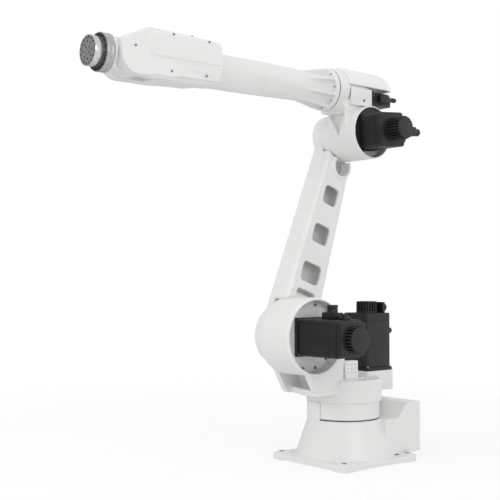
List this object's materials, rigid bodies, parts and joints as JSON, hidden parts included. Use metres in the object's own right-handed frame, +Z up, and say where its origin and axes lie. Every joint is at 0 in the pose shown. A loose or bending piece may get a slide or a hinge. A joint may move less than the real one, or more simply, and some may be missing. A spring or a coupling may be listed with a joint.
{
  "type": "six-axis industrial robot arm",
  "caption": "Floor-mounted jointed robot arm: square base, turning shoulder, windowed lower arm, elbow with side servo motor, tapered forearm and a forked wrist ending in a round tool flange.",
  "frame": {"origin": "centre of the base's underside, on the turret's turning axis", "axes": "+Z up along the turret's turning axis, +X from the base towards the tool flange, +Y towards the side of the shoulder and elbow motors"},
  "size_m": [1.316, 0.46, 1.381],
  "materials": {
    "paint": "satin",
    "cover": "satin",
    "motor": "matte",
    "socket": "matte",
    "steel": "satin",
    "dark_steel": "satin",
    "alloy": "satin",
    "rubber": "matte",
    "brass": "satin"
  },
  "bodies": {
    "base": {"base_casting": "paint", "base_rear_panel": "alloy", "power_inlet": "socket", "encoder_inlet": "socket", "air_inlet": "brass", "j1_stop_block": "paint", "j1_reducer_case": "dark_steel", "cable_sleeve": "alloy"},
    "turret": {"turret_casting": "paint", "j1_output_plate": "steel", "j1_stop_striker": "paint", "turret_lid": "cover", "cable_clamp_block": "cover", "j1_motor_bracket": "paint", "j1_motor": "motor", "j1_motor_cap": "motor", "j1_motor_power_socket": "socket", "j1_motor_signal_socket": "socket", "j2_motor": "motor", "j2_motor_cap": "motor", "j2_motor_power_socket": "socket", "j2_motor_signal_socket": "socket", "j2_motor_plate": "paint", "j2_reducer": "dark_steel"},
    "lower_arm": {"lower_arm_casting": "paint", "j2_output_hub": "steel", "shoulder_cover": "cover", "elbow_cover": "cover", "j3_reducer": "dark_steel"},
    "elbow": {"elbow_casting": "paint", "j3_motor": "motor", "j3_motor_cap": "motor", "j3_motor_power_socket": "socket", "j3_motor_signal_socket": "socket", "elbow_rear_cover": "cover", "j4_motor_bracket": "paint", "j4_motor": "motor", "j4_motor_socket": "socket", "j4_reducer": "dark_steel"},
    "forearm": {"forearm_flare": "paint", "forearm_tube": "paint", "wrist_casting": "paint", "wrist_cover_near": "cover", "wrist_cover_far": "cover", "j5_motor": "motor", "j6_motor": "motor", "j5_belt": "rubber", "j6_belt": "rubber"},
    "j5_drive": {"j5_drive_pulley": "alloy"},
    "j6_drive": {"j6_drive_pulley": "alloy"},
    "j6_cross_shaft": {"j6_shaft_pulley": "alloy"},
    "wrist": {"tilt_housing": "paint", "j6_reducer": "steel", "j5_shaft_pulley": "alloy"},
    "tool": {"tool_flange": "steel"}
  },
  "joints": [
    {"name": "j1_turret", "type": "hinge", "parent": "base", "child": "turret", "pos_m": [0, 0, 0], "axis": [0, 0, 1], "range_deg": [-155, 155]},
    {"name": "j2_shoulder", "type": "hinge", "parent": "turret", "child": "lower_arm", "pos_m": [0.205, 0, 0.442], "axis": [0, 1, 0], "range_deg": [-30, 66]},
    {"name": "j3_elbow", "type": "hinge", "parent": "lower_arm", "child": "elbow", "pos_m": [-0.042, 0, 1.149], "axis": [0, -1, 0], "range_deg": [-60, 80]},
    {"name": "j4_roll", "type": "hinge", "parent": "elbow", "child": "forearm", "pos_m": [0, 0, 1.297], "axis": [1, 0, 0], "range_deg": [-185, 185]},
    {"name": "j5_tilt", "type": "hinge", "parent": "forearm", "child": "wrist", "pos_m": [0.903, 0, 1.297], "axis": [0, 1, 0], "range_deg": [-65, 90]},
    {"name": "j6_tool", "type": "hinge", "parent": "wrist", "child": "tool", "pos_m": [1.04, 0, 1.297], "axis": [1, 0, 0], "range_deg": [-360, 360]},
    {"name": "j5_drive_turn", "type": "hinge", "parent": "forearm", "child": "j5_drive", "pos_m": [0.69, 0, 1.297], "axis": [0, 1, 0], "range_deg": [-110, 150]},
    {"name": "j6_drive_turn", "type": "hinge", "parent": "forearm", "child": "j6_drive", "pos_m": [0.69, 0, 1.297], "axis": [0, 1, 0], "range_deg": [-545, 545]},
    {"name": "j6_cross_turn", "type": "hinge", "parent": "forearm", "child": "j6_cross_shaft", "pos_m": [0.903, 0, 1.297], "axis": [0, 1, 0], "range_deg": [-365, 365]}
  ],
  "couplings": [
    {"joint": "j5_drive_turn", "follows": "j5_tilt", "ratio": 1.5},
    {"joint": "j6_drive_turn", "follows": "j6_tool", "ratio": 1.5},
    {"joint": "j6_cross_turn", "follows": "j6_tool", "ratio": 1}
  ]
}
